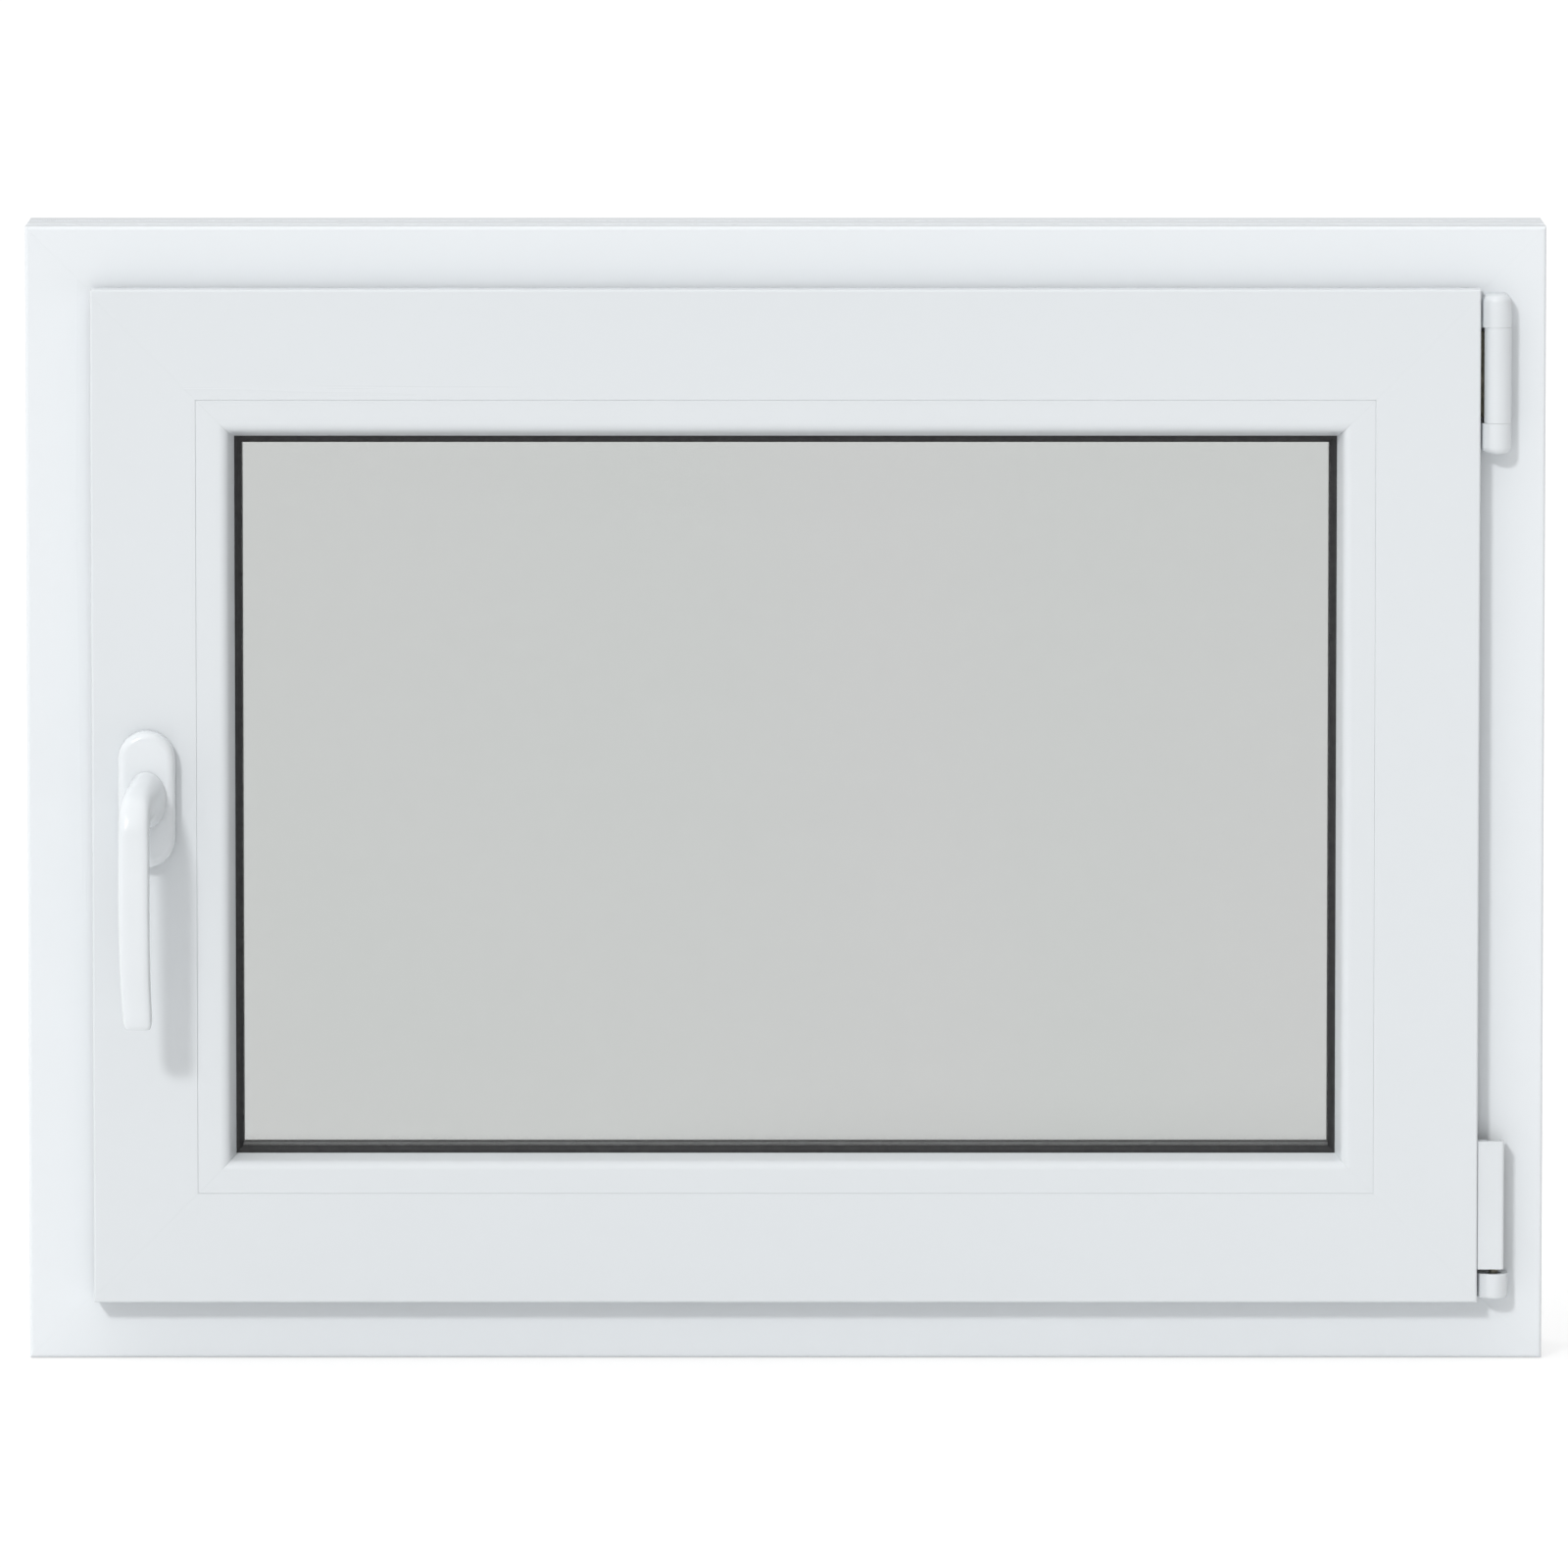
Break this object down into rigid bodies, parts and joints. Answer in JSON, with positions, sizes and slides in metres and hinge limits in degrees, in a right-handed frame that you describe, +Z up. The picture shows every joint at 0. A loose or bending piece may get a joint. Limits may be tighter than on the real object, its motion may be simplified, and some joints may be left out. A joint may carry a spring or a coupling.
{
  "type": "casement window",
  "caption": "White inward-opening casement window of tilt and turn type: frame, glazed sash, lever handle, locking rods and corner hinges.",
  "frame": {"origin": "on the underside of the frame, at the middle of its length and depth", "axes": "+X to the right seen from the room (towards the hinges), +Y from the room to the outside, +Z up"},
  "size_m": [0.8, 0.1449, 0.6],
  "materials": {
    "frame_profile": "smooth white extruded plastic, satin gloss",
    "sash_profile": "smooth white extruded plastic, satin gloss",
    "bead_profile": "smooth white extruded plastic, satin gloss",
    "steel_reinforcement": "folded galvanised sheet",
    "seal_rubber": "black extruded rubber, matt",
    "spacer": "black warm-edge spacer with sealant",
    "glass": "clear float glass",
    "zinc_hardware": "bright zinc-plated steel and die-cast zinc",
    "hinge_cap": "moulded white plastic, satin",
    "handle_coating": "white powder coat, semi-gloss",
    "hidden_plastic": "moulded grey plastic"
  },
  "bodies": {
    "frame": {"frame_head": "frame_profile", "frame_sill": "frame_profile", "frame_jamb_handle_side": "frame_profile", "frame_jamb_hinge_side": "frame_profile", "frame_steel_head": "steel_reinforcement", "frame_steel_sill": "steel_reinforcement", "frame_steel_jamb_handle_side": "steel_reinforcement", "frame_steel_jamb_hinge_side": "steel_reinforcement", "frame_seal": "seal_rubber", "keep_handle_side": "zinc_hardware", "keep_top": "zinc_hardware", "keep_tilt_bottom": "zinc_hardware", "stay_bearing": "zinc_hardware", "stay_hinge_pin": "zinc_hardware", "stay_hinge_cap_upper": "hinge_cap", "stay_hinge_cap_lower": "hinge_cap", "pivot_rest": "zinc_hardware", "pivot_rest_cap": "hinge_cap"},
    "carrier": {"pivot_bush": "hidden_plastic"},
    "stay": {"stay_arm": "zinc_hardware", "stay_arm_cap": "hinge_cap"},
    "sash": {"sash_top_rail": "sash_profile", "sash_bottom_rail": "sash_profile", "sash_stile_handle_side": "sash_profile", "sash_stile_hinge_side": "sash_profile", "sash_steel_top_rail": "steel_reinforcement", "sash_steel_bottom_rail": "steel_reinforcement", "sash_steel_stile_handle_side": "steel_reinforcement", "sash_steel_stile_hinge_side": "steel_reinforcement", "sash_seal": "seal_rubber", "sash_seal_between_hinges": "seal_rubber", "glass_pane_room": "glass", "glass_pane_outside": "glass", "glass_spacer": "spacer", "bead_top": "bead_profile", "bead_bottom": "bead_profile", "bead_handle_side": "bead_profile", "bead_hinge_side": "bead_profile", "glazing_seal_room": "seal_rubber", "glazing_seal_outside": "seal_rubber", "setting_block_handle_side": "hidden_plastic", "setting_block_hinge_side": "hidden_plastic", "corner_hinge": "zinc_hardware", "corner_hinge_cap": "hinge_cap", "pivot_pin": "zinc_hardware", "stay_guide": "zinc_hardware", "gearbox_case": "zinc_hardware", "faceplate": "zinc_hardware", "corner_drive_top": "zinc_hardware", "corner_drive_bottom": "zinc_hardware", "rosette_base": "hidden_plastic", "rosette_cover": "handle_coating", "handle_screw_lower": "zinc_hardware", "handle_screw_upper": "zinc_hardware"},
    "handle": {"handle_lever": "handle_coating", "handle_spindle": "zinc_hardware", "gearbox_pinion": "zinc_hardware"},
    "drive_rod": {"drive_rod": "zinc_hardware"},
    "top_rod": {"top_rod": "zinc_hardware"},
    "bottom_rod": {"bottom_rod": "zinc_hardware"}
  },
  "joints": [
    {"name": "sash_turn", "type": "hinge", "parent": "frame", "child": "carrier", "pos_m": [0.374, -0.044, 0.041], "axis": [0, 0, 1], "range_deg": [0, 95]},
    {"name": "sash_tilt", "type": "hinge", "parent": "carrier", "child": "sash", "pos_m": [0.374, -0.044, 0.041], "axis": [1, 0, 0], "range_deg": [0, 8]},
    {"name": "stay_swing", "type": "hinge", "parent": "carrier", "child": "stay", "pos_m": [0.374, -0.044, 0.5517], "axis": [0, 0, 1], "range_deg": [0, 16.4]},
    {"name": "handle_turn", "type": "hinge", "parent": "sash", "child": "handle", "pos_m": [-0.336, -0.053, 0.3], "axis": [0, -1, 0], "range_deg": [0, 180]},
    {"name": "drive_rod_slide", "type": "slide", "parent": "sash", "child": "drive_rod", "axis": [0, 0, -1], "range_m": [0, 0.026]},
    {"name": "top_rod_slide", "type": "slide", "parent": "sash", "child": "top_rod", "axis": [-1, 0, 0], "range_m": [0, 0.026]},
    {"name": "bottom_rod_slide", "type": "slide", "parent": "sash", "child": "bottom_rod", "axis": [1, 0, 0], "range_m": [0, 0.026]}
  ],
  "couplings": [
    {"joint": "stay_swing", "follows": "sash_tilt", "ratio": 2.045},
    {"joint": "drive_rod_slide", "follows": "handle_turn", "m_per_rad": 0.00825},
    {"joint": "top_rod_slide", "follows": "handle_turn", "m_per_rad": 0.00825},
    {"joint": "bottom_rod_slide", "follows": "handle_turn", "m_per_rad": 0.00825}
  ]
}
